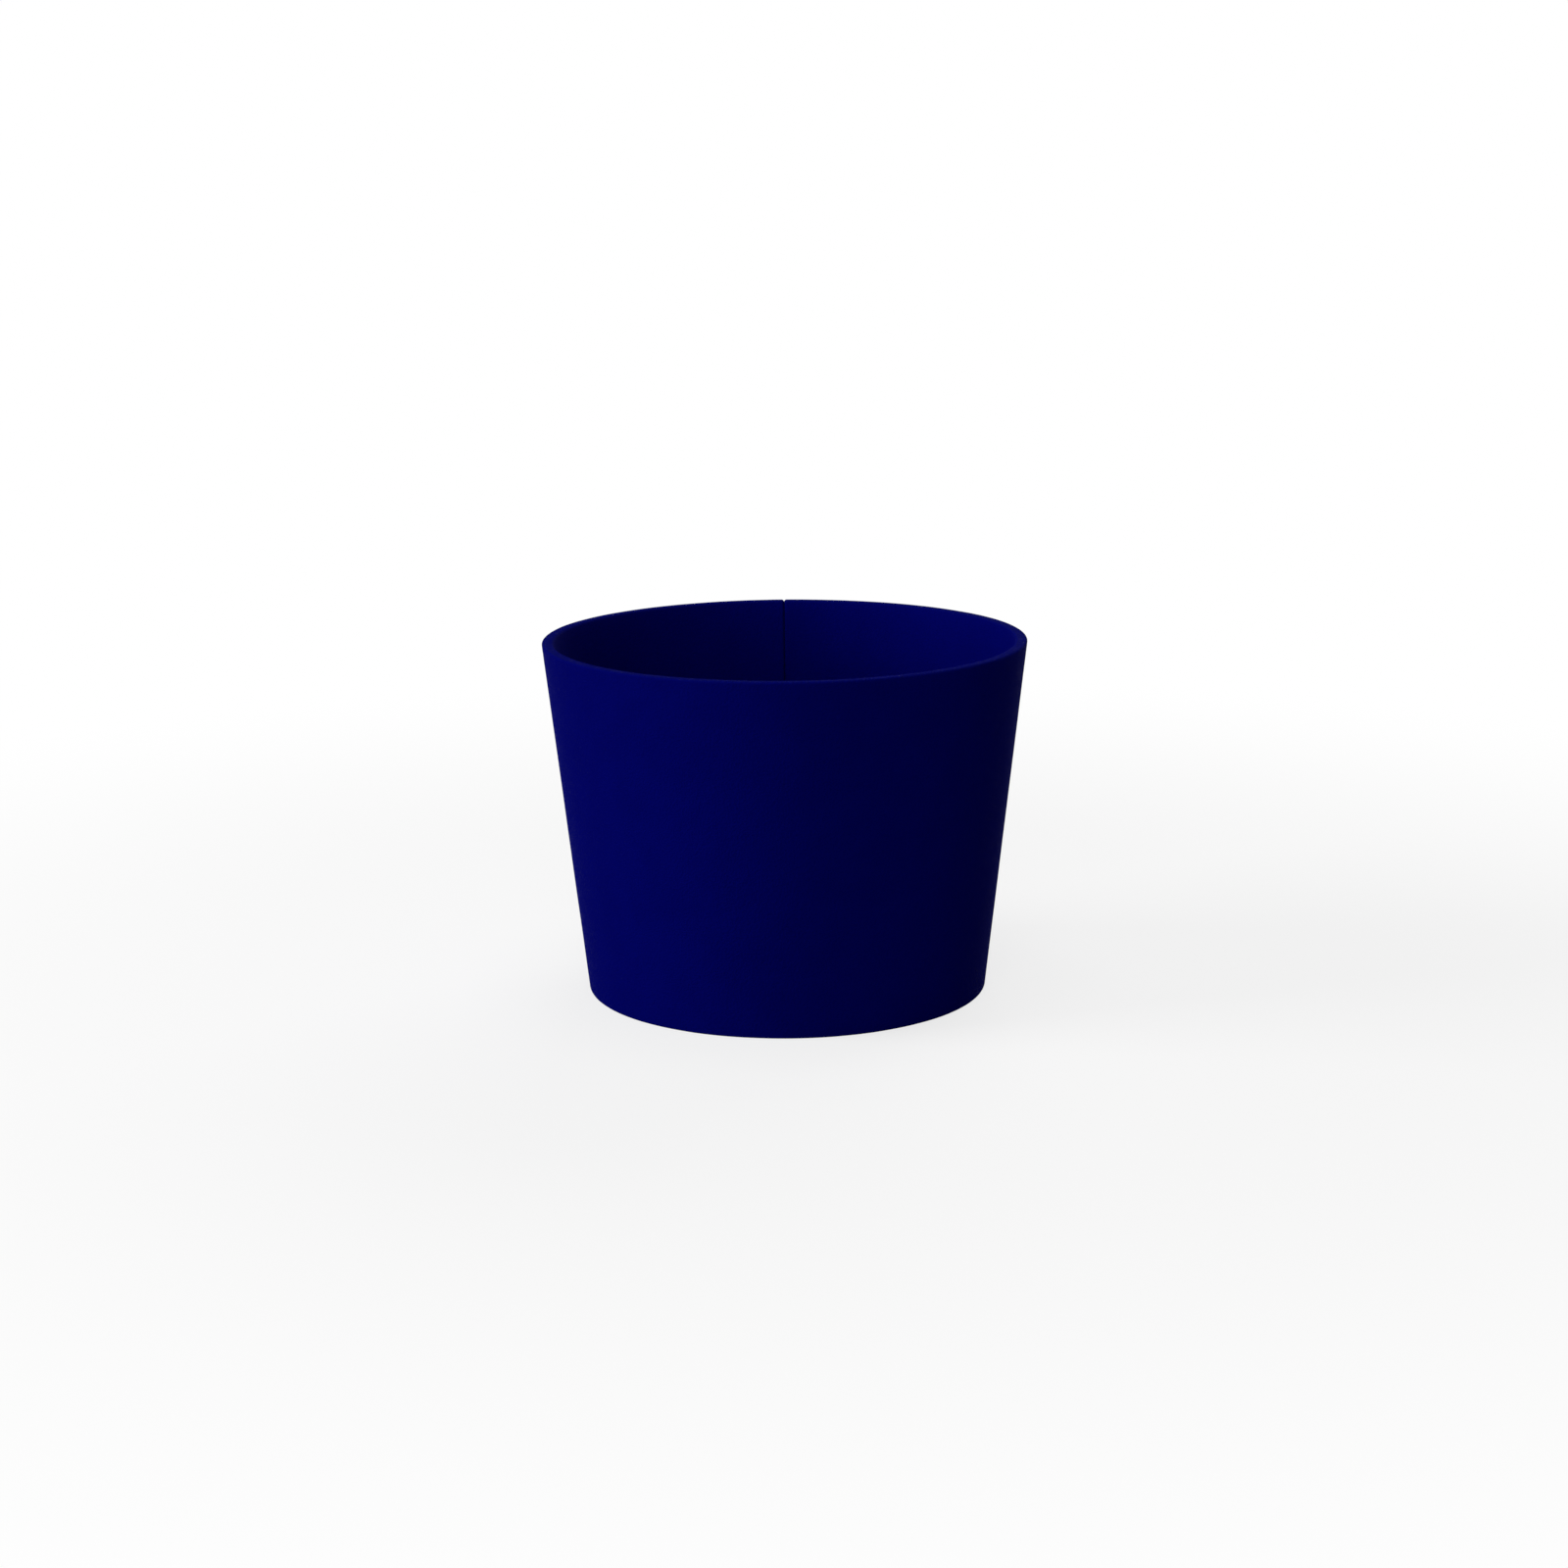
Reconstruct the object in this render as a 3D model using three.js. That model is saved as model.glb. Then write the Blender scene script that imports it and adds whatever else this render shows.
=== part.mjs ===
// Insulating foam sleeve for a hot takeaway drink.
//
// One fan-shaped blank is cut from closed-cell foam sheet, wrapped into a cone and glued edge to edge
// down the back. The cone is open at both ends and grips by its taper. The knife leaves the blank with
// slightly soft corners, so the glued joint shows as a fine groove all the way round the section:
// outside, inside and across both rims.
//
// Millimetres, +Z up. The origin is on the axis, at the level of the narrow lower rim, which the sleeve
// stands on. The front faces -Y, and the joint is at the back, at +Y.

import * as THREE from 'three';
import { ParametricGeometry } from 'three/addons/geometries/ParametricGeometry.js';
import { toCreasedNormals } from 'three/addons/utils/BufferGeometryUtils.js';

// Driving dimensions
const TOP_DIAMETER = 83; // outside, at the level of the wide upper rim
const BOTTOM_DIAMETER = 69; // outside, at the level of the narrow lower rim
const HEIGHT = 61; // from rim to rim, along the axis
const WALL = 2; // the foam sheet's gauge, square to its face
const EDGE_RADIUS = 0.4; // the soft corners that the knife leaves
const GLUE_LINE = 0.1; // the gap that the glue fills, between the straight faces of the two ends
const GLUE_DEPTH = 0.3; // from the foam's face down to the glue

// How finely the round forms are divided
const TURN_STEPS = 144; // round the axis
const CORNER_STEPS = 4; // in each soft corner

const NAVY = 0x00045a;
const CREASE = THREE.MathUtils.degToRad(30);

// The wall leans outwards by this angle, and a level cut through it is this much wider than the gauge.
const lean = Math.atan((TOP_DIAMETER - BOTTOM_DIAMETER) / 2 / HEIGHT);
const levelWall = WALL / Math.cos(lean);

// A thin sheet has no room for the whole radius, and the glue stands within the rounding.
const WIDEST_ROUNDING = 0.45; // of the gauge
const DEEPEST_GLUE = 0.9; // of the rounding
const cornerRadius = Math.min(EDGE_RADIUS, WIDEST_ROUNDING * WALL);
const glueDepth = Math.min(GLUE_DEPTH, DEEPEST_GLUE * cornerRadius);

// The section: a sloping wall between two level rims. Its corners are (distance from the axis, height),
// and they run anticlockwise.
const section = [
  new THREE.Vector2(BOTTOM_DIAMETER / 2 - levelWall, 0),
  new THREE.Vector2(BOTTOM_DIAMETER / 2, 0),
  new THREE.Vector2(TOP_DIAMETER / 2, HEIGHT),
  new THREE.Vector2(TOP_DIAMETER / 2 - levelWall, HEIGHT),
];

// The section's outline with soft corners, drawn this far inside the foam's face. Each corner is an arc
// about a centre one radius inside the face, so an outline drawn further in has tighter arcs.
function outlineAt(inset) {
  return section.flatMap((corner, i) => {
    const before = corner.clone().sub(section.at(i - 1)).normalize();
    const after = section[(i + 1) % section.length].clone().sub(corner).normalize();
    const turn = before.angleTo(after);
    const inwards = after.clone().sub(before).normalize();
    const centre = corner.clone().addScaledVector(inwards, cornerRadius / Math.cos(turn / 2));
    const outwards = new THREE.Vector2(before.y, -before.x);
    const arc = [];
    for (let step = 0; step <= CORNER_STEPS; step += 1) {
      const spoke = outwards.clone().rotateAround(new THREE.Vector2(), (turn * step) / CORNER_STEPS);
      arc.push(centre.clone().addScaledVector(spoke, cornerRadius - inset));
    }
    return arc;
  });
}

// An outline stood up at this angle round the axis, measured from the joint towards +X.
function standAt(angle, outline) {
  return outline.map(
    ({ x: radius, y: height }) =>
      new THREE.Vector3(radius * Math.sin(angle), radius * Math.cos(angle), height),
  );
}

// An outline stood up beside the joint, all of it at this distance from the joint's plane.
function standBeside(distance, outline) {
  return outline.map(
    ({ x: radius, y: height }) =>
      new THREE.Vector3(distance, Math.sqrt(radius ** 2 - distance ** 2), height),
  );
}

// The soft end of the blank on one side of the joint, from the glue out to the full section. The side
// is 1 towards +X and -1 towards -X.
function softEnd(side) {
  const mouth = GLUE_LINE / 2 + cornerRadius;
  const toGlue = Math.acos(1 - glueDepth / cornerRadius);
  const outlines = [];
  for (let step = CORNER_STEPS; step >= 0; step -= 1) {
    const angle = (toGlue * step) / CORNER_STEPS;
    const distance = mouth - cornerRadius * Math.sin(angle);
    const inset = cornerRadius * (1 - Math.cos(angle));
    outlines.push(standBeside(side * distance, outlineAt(inset)));
  }
  return outlines;
}

// The plain wall between the blank's two ends, all the way round the front.
function plainWall() {
  const outline = outlineAt(0);
  const outlines = [];
  for (let step = 1; step < TURN_STEPS; step += 1) {
    outlines.push(standAt((2 * Math.PI * step) / TURN_STEPS, outline));
  }
  return outlines;
}

// The skin over a ring of outlines, closed along each outline and round the ring.
function skinOver(ring) {
  const points = ring[0].length;
  const pointAt = (along, around, target) => {
    const outline = ring[Math.round(around * ring.length) % ring.length];
    target.copy(outline[Math.round(along * points) % points]);
  };
  return toCreasedNormals(new ParametricGeometry(pointAt, points, ring.length), CREASE);
}

const foam = new THREE.MeshStandardMaterial({ color: NAVY, roughness: 0.85, metalness: 0 });

const wrappedBlank = [...softEnd(1), ...plainWall(), ...softEnd(-1).reverse()];
const sleeve = new THREE.Mesh(skinOver(wrappedBlank), foam);
sleeve.name = 'foam_sleeve';

const cupSleeve = new THREE.Group();
cupSleeve.name = 'cup_sleeve';
cupSleeve.add(sleeve);

export default cupSleeve;
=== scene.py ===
import math

import bmesh
import bpy
from mathutils import Matrix, Vector


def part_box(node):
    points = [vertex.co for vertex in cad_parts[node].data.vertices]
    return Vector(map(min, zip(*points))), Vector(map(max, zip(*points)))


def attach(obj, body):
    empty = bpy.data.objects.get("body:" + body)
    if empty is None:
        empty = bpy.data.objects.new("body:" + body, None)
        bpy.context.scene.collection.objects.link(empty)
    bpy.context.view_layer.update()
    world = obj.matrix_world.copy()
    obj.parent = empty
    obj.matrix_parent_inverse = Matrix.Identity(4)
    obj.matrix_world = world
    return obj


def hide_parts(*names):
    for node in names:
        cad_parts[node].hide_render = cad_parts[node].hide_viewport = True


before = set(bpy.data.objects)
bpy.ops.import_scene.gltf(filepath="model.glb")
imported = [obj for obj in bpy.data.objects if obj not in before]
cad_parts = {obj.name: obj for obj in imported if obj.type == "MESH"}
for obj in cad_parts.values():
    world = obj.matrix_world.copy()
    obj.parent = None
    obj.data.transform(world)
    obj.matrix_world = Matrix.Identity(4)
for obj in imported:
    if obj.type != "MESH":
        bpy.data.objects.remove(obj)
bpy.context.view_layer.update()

# The camera stands in front of the sleeve and a little above it, half a metre away, with a long lens.
# Its place, tilt and roll are those at which the sleeve's rims and sides lie as the photograph has them.
CAMERA_PLACE = (-0.0003, -0.5297, 0.1530)
CAMERA_DOWN = math.radians(12.52)
CAMERA_ROLL = math.radians(-0.49)
CAMERA_LENS_MM = 72.04
SENSOR_MM = 36

bpy.ops.object.select_all(action="DESELECT")
bpy.ops.object.camera_add()
camera = bpy.context.object
camera.name = "camera"
camera.data.lens = CAMERA_LENS_MM
camera.data.sensor_width = SENSOR_MM
camera.matrix_world = (
    Matrix.Translation(CAMERA_PLACE)
    @ Matrix.Rotation(math.pi / 2 - CAMERA_DOWN, 4, "X")
    @ Matrix.Rotation(CAMERA_ROLL, 4, "Z")
)
bpy.context.scene.camera = camera

# The foam sleeve is one fan-shaped blank of closed-cell foam sheet, cut with a knife, wrapped into a cone
# and glued edge to edge down the back. The cuts have slightly soft corners, so the joint is a fine groove
# all round the section, with the glue at its foot. Both ends are open.
TOP_RADIUS = 0.0415
BOTTOM_RADIUS = 0.0345
SHEET_GAUGE = 0.002
EDGE_RADIUS = 0.0004
GLUE_LINE = 0.0001
GLUE_DEPTH = 0.0003

TURN_STEPS = 288
ROWS = 48
CORNER_STEPS = 5

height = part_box("foam_sleeve")[1].z
lean = math.atan((TOP_RADIUS - BOTTOM_RADIUS) / height)
level_wall = SHEET_GAUGE / math.cos(lean)
half_step = math.pi / TURN_STEPS


def pick(kind, wanted):
    """In edit mode, selects those vertices, edges or faces, as kind says, for which wanted is true."""
    bpy.ops.mesh.select_all(action="DESELECT")
    bpy.ops.mesh.select_mode(type=kind)
    mesh = bmesh.from_edit_mesh(bpy.context.object.data)
    for part in {"VERT": mesh.verts, "EDGE": mesh.edges, "FACE": mesh.faces}[kind]:
        if wanted(part):
            part.select_set(True)
    bmesh.update_edit_mesh(bpy.context.object.data)


# The section through the sheet stands at the back. It is drawn upright, then leans outwards, its corners
# are softened and its two long sides are divided into rows.
section_middle = (0, BOTTOM_RADIUS - level_wall / 2, height / 2)
bpy.ops.object.select_all(action="DESELECT")
bpy.ops.mesh.primitive_plane_add(
    size=1, location=section_middle, rotation=(math.pi / 2, 0, math.pi / 2), enter_editmode=True
)
sleeve = bpy.context.object
sleeve.name = "wrapped_foam_sleeve"
bpy.ops.transform.resize(value=(1, level_wall, height), center_override=section_middle)
bpy.ops.object.mode_set(mode="OBJECT")
bpy.ops.object.transform_apply(location=True, rotation=True, scale=True)
bpy.ops.object.mode_set(mode="EDIT")
pick("VERT", lambda corner: corner.co.z > height / 2)
bpy.ops.transform.translate(value=(0, TOP_RADIUS - BOTTOM_RADIUS, 0))
bpy.ops.mesh.select_all(action="SELECT")
bpy.ops.mesh.bevel(offset=EDGE_RADIUS, segments=CORNER_STEPS, affect="VERTICES")
bpy.ops.mesh.delete(type="ONLY_FACE")
pick("EDGE", lambda edge: edge.calc_length() > height / 2)
bpy.ops.mesh.subdivide(number_cuts=ROWS - 1)
bpy.ops.mesh.select_all(action="SELECT")
bpy.ops.mesh.edge_face_add()

# The section is swept round the axis, from one cut end of the blank to the other.
bpy.ops.transform.rotate(value=half_step, orient_axis="Z", center_override=(0, 0, 0))
bpy.ops.mesh.spin(
    steps=TURN_STEPS - 1, angle=2 * (math.pi - half_step), center=(0, 0, 0), axis=(0, 0, 1)
)
bpy.ops.mesh.select_all(action="SELECT")
bpy.ops.mesh.normals_make_consistent(inside=False)

# The two cut ends stand parallel, each as far from the joint as its soft corners need. They are rounded
# down to the glue, ring by ring, and the glue closes the gap between them.
to_glue = math.acos(1 - GLUE_DEPTH / EDGE_RADIUS)
mouth = GLUE_LINE / 2 + EDGE_RADIUS


def is_cut_end(face):
    """The swept walls are four-sided faces, and a cut end is one face with the section's whole outline."""
    return len(face.verts) > 4


for side in (-1, 1):
    pick("FACE", lambda face: is_cut_end(face) and face.normal.x * side < 0)
    bpy.ops.transform.resize(value=(0, 1, 1), center_override=(side * mouth, 0, 0))
pick("FACE", is_cut_end)
for step in range(CORNER_STEPS):
    near, far = (to_glue * count / CORNER_STEPS for count in (step, step + 1))
    bpy.ops.mesh.inset(
        thickness=EDGE_RADIUS * (math.cos(near) - math.cos(far)),
        depth=EDGE_RADIUS * (math.sin(far) - math.sin(near)),
    )
bpy.ops.mesh.bridge_edge_loops()
bpy.ops.object.mode_set(mode="OBJECT")

# A skived sheet is never quite even, so both faces and the rims swell and sink by a few hundredths of a
# millimetre.
SWELL = 0.00008
SWELL_LENGTH = 0.014
SHARPEST_SMOOTH_EDGE = math.radians(50)

swell = bpy.data.textures.new("sheet_swell", type="CLOUDS")
swell.noise_scale = SWELL_LENGTH
unevenness = sleeve.modifiers.new("unevenness", "DISPLACE")
unevenness.texture = swell
unevenness.strength = SWELL
bpy.ops.object.modifier_apply(modifier=unevenness.name)
bpy.ops.object.shade_smooth_by_angle(angle=SHARPEST_SMOOTH_EDGE)


class Wire:
    """One output of a shader node. Arithmetic written on wires adds Math nodes to their material."""

    def __init__(self, socket):
        self.socket = socket

    @classmethod
    def add(cls, tree, kind, settings, inputs, output=0):
        """Adds a node of any kind. Its settings come first, then its inputs, as values or as wires."""
        node = tree.nodes.new(kind)
        for name, value in settings.items():
            setattr(node, name, value)
        for name, value in inputs.items():
            if isinstance(value, cls):
                tree.links.new(value.socket, node.inputs[name])
            else:
                node.inputs[name].default_value = value
        return cls(node.outputs[output]) if node.outputs else None

    def math(self, operation, first, second):
        tree = self.socket.id_data
        return Wire.add(tree, "ShaderNodeMath", {"operation": operation}, {0: first, 1: second})

    def __add__(self, other):
        return self.math("ADD", self, other)

    def __radd__(self, other):
        return self.math("ADD", other, self)

    def __sub__(self, other):
        return self.math("SUBTRACT", self, other)

    def __rsub__(self, other):
        return self.math("SUBTRACT", other, self)

    def __mul__(self, other):
        return self.math("MULTIPLY", self, other)

    def __rmul__(self, other):
        return self.math("MULTIPLY", other, self)


def new_material(name):
    material = bpy.data.materials.new(name)
    material.use_nodes = True
    material.node_tree.nodes.clear()
    return material, material.node_tree


def rise(tree, value, start, end):
    """0 up to start, 1 from end on, and a smooth rise between them. It falls where end is below start."""
    limits = {"Value": value, "From Min": start, "From Max": end}
    return Wire.add(tree, "ShaderNodeMapRange", {"interpolation_type": "SMOOTHSTEP"}, limits)


def mixed(tree, share, first, second):
    """The first colour where share is 0, and the second where it is 1."""
    factor, colour_a, colour_b, colour_out = 0, 6, 7, 2
    inputs = {factor: share, colour_a: first, colour_b: second}
    return Wire.add(tree, "ShaderNodeMix", {"data_type": "RGBA"}, inputs, colour_out)


# The foam is dyed right through, a little unevenly. Its skin shows the closed cells as shallow dimples,
# and on the rims the knife has opened them, which leaves the foam coarser and duller there. The rims' navy
# is painted a little lighter, as a painted highlight along them. The middle of each cell is darkened with
# painted shade. The glue has dried clear at the foot of the groove, and darkens the foam there.
NAVY = (0.0005, 0.0012, 0.121, 1)
DEEP_NAVY = (0.0004, 0.001, 0.112, 1)
# The rims' navy is a little lighter than the skin's: a painted highlight along the cut rims.
CUT_NAVY_AND_RIM_HIGHLIGHT = (0.0012, 0.0025, 0.128, 1)
GLUED_NAVY = (0.0004, 0.0008, 0.05, 1)
# The hollows' navy is painted shade, darkening the middle of each cell.
HOLLOW_SHADE_NAVY = (0.0002, 0.0005, 0.06, 1)

SKIN_CELL = 0.00035
SKIN_CELL_DEPTH = 0.00006
CUT_CELL = 0.0005
CUT_CELL_DEPTH = 0.00016
SHADED_HOLLOW_SIZE = 0.4  # of a cell
HOLLOW_SHADE_SHARE = 0.4  # of the painted shade, in the middle of a cell
CUT_HOLLOW_SHADE_SHARE = 0.7  # the same on the rims
CUT_EDGE = 0.0003  # how far the knife's work shows from a rim's level

GRAIN = 0.0012
GRAIN_DEPTH = 0.00005
GRAIN_DETAIL = 3
MOTTLE = 0.006
MOTTLE_DETAIL = 5
MOTTLE_DEEP = 0.3
MOTTLE_MIDDLE = 0.5
MOTTLE_PALE = 0.7

SKIN_ROUGHNESS = 0.76
CUT_ROUGHNESS = 0.92
GLUE_ROUGHNESS = 0.65
ROUGHNESS_SPREAD = 0.12
SHINE = 0.004

foam, tree = new_material("navy_closed_cell_foam")
place = Wire.add(tree, "ShaderNodeTexCoord", {}, {}, "Object")
across, back, level = (
    Wire.add(tree, "ShaderNodeSeparateXYZ", {}, {"Vector": place}, axis) for axis in "XYZ"
)
cut = rise(tree, level, CUT_EDGE, 0) + rise(tree, level, height - CUT_EDGE, height)
beside = Wire.add(tree, "ShaderNodeMath", {"operation": "ABSOLUTE"}, {0: across})
glued = rise(tree, beside, GLUE_LINE, GLUE_LINE / 2) * rise(tree, back, 0, BOTTOM_RADIUS / 2)

skin_cells = Wire.add(
    tree, "ShaderNodeTexVoronoi", {}, {"Vector": place, "Scale": 1 / SKIN_CELL}, "Distance"
)
cut_cells = Wire.add(
    tree, "ShaderNodeTexVoronoi", {}, {"Vector": place, "Scale": 1 / CUT_CELL}, "Distance"
)
grain = Wire.add(
    tree, "ShaderNodeTexNoise", {}, {"Vector": place, "Scale": 1 / GRAIN, "Detail": GRAIN_DETAIL}, "Fac"
)
mottle = Wire.add(
    tree, "ShaderNodeTexNoise", {}, {"Vector": place, "Scale": 1 / MOTTLE, "Detail": MOTTLE_DETAIL}, "Fac"
)
skin_relief = skin_cells * SKIN_CELL_DEPTH + grain * GRAIN_DEPTH
relief = skin_relief * (1 - cut) + cut_cells * cut * CUT_CELL_DEPTH
bumps = Wire.add(tree, "ShaderNodeBump", {}, {"Distance": 1, "Height": relief})
# Painted shade: the middle of each cell is darkened, more where the knife has opened the cells on the
# rims.
hollow_shade = (
    rise(tree, skin_cells, SHADED_HOLLOW_SIZE, 0) * (1 - cut) * HOLLOW_SHADE_SHARE
    + rise(tree, cut_cells, SHADED_HOLLOW_SIZE, 0) * cut * CUT_HOLLOW_SHADE_SHARE
)
dye = mixed(tree, rise(tree, mottle, MOTTLE_DEEP, MOTTLE_PALE), DEEP_NAVY, NAVY)
# The rims take the lighter navy, a painted highlight, and the middles of the cells take the painted shade.
celled = mixed(tree, hollow_shade, mixed(tree, cut, dye, CUT_NAVY_AND_RIM_HIGHLIGHT), HOLLOW_SHADE_NAVY)
roughness_added = (CUT_ROUGHNESS - SKIN_ROUGHNESS) * cut + (mottle - MOTTLE_MIDDLE) * ROUGHNESS_SPREAD
foam_roughness = SKIN_ROUGHNESS + roughness_added
finish = {
    "Base Color": mixed(tree, glued, celled, GLUED_NAVY),
    "Roughness": foam_roughness * (1 - glued) + glued * GLUE_ROUGHNESS,
    "Specular IOR Level": SHINE,
    "Normal": bumps,
}
surface = Wire.add(tree, "ShaderNodeBsdfPrincipled", {}, finish)
Wire.add(tree, "ShaderNodeOutputMaterial", {}, {"Surface": surface})
sleeve.data.materials.append(foam)

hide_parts("foam_sleeve")
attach(sleeve, "root")

# The studio is a pale floor under a white sky, which the camera sees as plain white, and big soft lamps.
# The floor is shaded only round the sleeve, where it keeps the shadow. Light that bounces off the floor
# comes from a greyer one, so that the sleeve's dark side stays dark.
FLOOR_RADIUS = 6
FLOOR_SIDES = 96
FLOOR_GREY = (0.2, 0.2, 0.2, 1)
WHITE = (1, 1, 1, 1)
WHITE_LEVEL = 1
SKY_LEVEL = 0.08
SHADOW_SHARE = 0.25  # of the floor's real shading
SHADOW_FULL = 0.1  # from the axis
SHADOW_GONE = 0.3

bpy.ops.object.select_all(action="DESELECT")
bpy.ops.mesh.primitive_circle_add(vertices=FLOOR_SIDES, radius=FLOOR_RADIUS, fill_type="NGON")
floor = bpy.context.object
floor.name = "pale_floor"


def seen(tree):
    """1 for what the camera sees, straight or in a reflection, and 0 for light on its way to a surface."""
    kinds = ("Is Camera Ray", "Is Glossy Ray", "Is Transmission Ray")
    camera_ray, glossy_ray, transmission_ray = (
        Wire.add(tree, "ShaderNodeLightPath", {}, {}, kind) for kind in kinds
    )
    return camera_ray + glossy_ray + transmission_ray


def either(tree, share, first, second):
    """The first shader where share is 0, and the second where it is 1."""
    return Wire.add(tree, "ShaderNodeMixShader", {}, {0: share, 1: first, 2: second})


paint, tree = new_material("pale_floor_paint")
place = Wire.add(tree, "ShaderNodeTexCoord", {}, {}, "Object")
distance = Wire.add(tree, "ShaderNodeVectorMath", {"operation": "LENGTH"}, {0: place}, "Value")
white = Wire.add(tree, "ShaderNodeEmission", {}, {"Color": WHITE, "Strength": WHITE_LEVEL})
shaded = Wire.add(tree, "ShaderNodeBsdfDiffuse", {}, {"Color": WHITE})
bounce = Wire.add(tree, "ShaderNodeBsdfDiffuse", {}, {"Color": FLOOR_GREY})
beside_sleeve = rise(tree, distance, SHADOW_GONE, SHADOW_FULL)
look = either(tree, beside_sleeve * SHADOW_SHARE, white, shaded)
surface = either(tree, seen(tree), bounce, look)
Wire.add(tree, "ShaderNodeOutputMaterial", {}, {"Surface": surface})
floor.data.materials.append(paint)

sky = bpy.data.worlds.new("white_sky")
sky.use_nodes = True
tree = sky.node_tree
tree.nodes.clear()
glow = Wire.add(tree, "ShaderNodeBackground", {}, {"Color": WHITE, "Strength": SKY_LEVEL})
white = Wire.add(tree, "ShaderNodeBackground", {}, {"Color": WHITE, "Strength": WHITE_LEVEL})
surface = either(tree, seen(tree), glow, white)
Wire.add(tree, "ShaderNodeOutputWorld", {}, {"Surface": surface})
bpy.context.scene.world = sky

lamp_aim = Vector((0, 0, height / 2))


def soft_lamp(name, azimuth, elevation, distance, size, level):
    """A square lamp aimed at the sleeve. Azimuth 0 is the camera's side and 90 the right. The level is how
    bright the lamp alone makes a white card that faces it at the sleeve, where 1 is white."""
    turn, climb = math.radians(azimuth), math.radians(elevation)
    level_part = math.cos(climb)
    towards = Vector((math.sin(turn) * level_part, -math.cos(turn) * level_part, math.sin(climb)))
    bpy.ops.object.select_all(action="DESELECT")
    bpy.ops.object.light_add(type="AREA", location=lamp_aim + towards * distance)
    lamp = bpy.context.object
    lamp.name = name
    lamp.rotation_euler = towards.to_track_quat("Z", "Y").to_euler()
    lamp.data.size = size
    lamp.data.energy = level * math.pi**2 * distance**2


# The key lamp stands low on the left, where the sleeve is brightest. The others are fill. The back lamp
# stands to the right, on the side that the key lamp leaves dark, and the top lamp reaches down into the
# sleeve.
soft_lamp("key_lamp", azimuth=-81, elevation=16, distance=0.9, size=0.45, level=0.72)
soft_lamp("front_lamp", azimuth=-6, elevation=18, distance=0.9, size=0.5, level=0.32)
soft_lamp("back_lamp", azimuth=158, elevation=28, distance=1.0, size=0.8, level=0.42)
soft_lamp("top_lamp", azimuth=0, elevation=88, distance=1.2, size=0.6, level=0.2)

bpy.context.scene.view_settings.view_transform = "Standard"
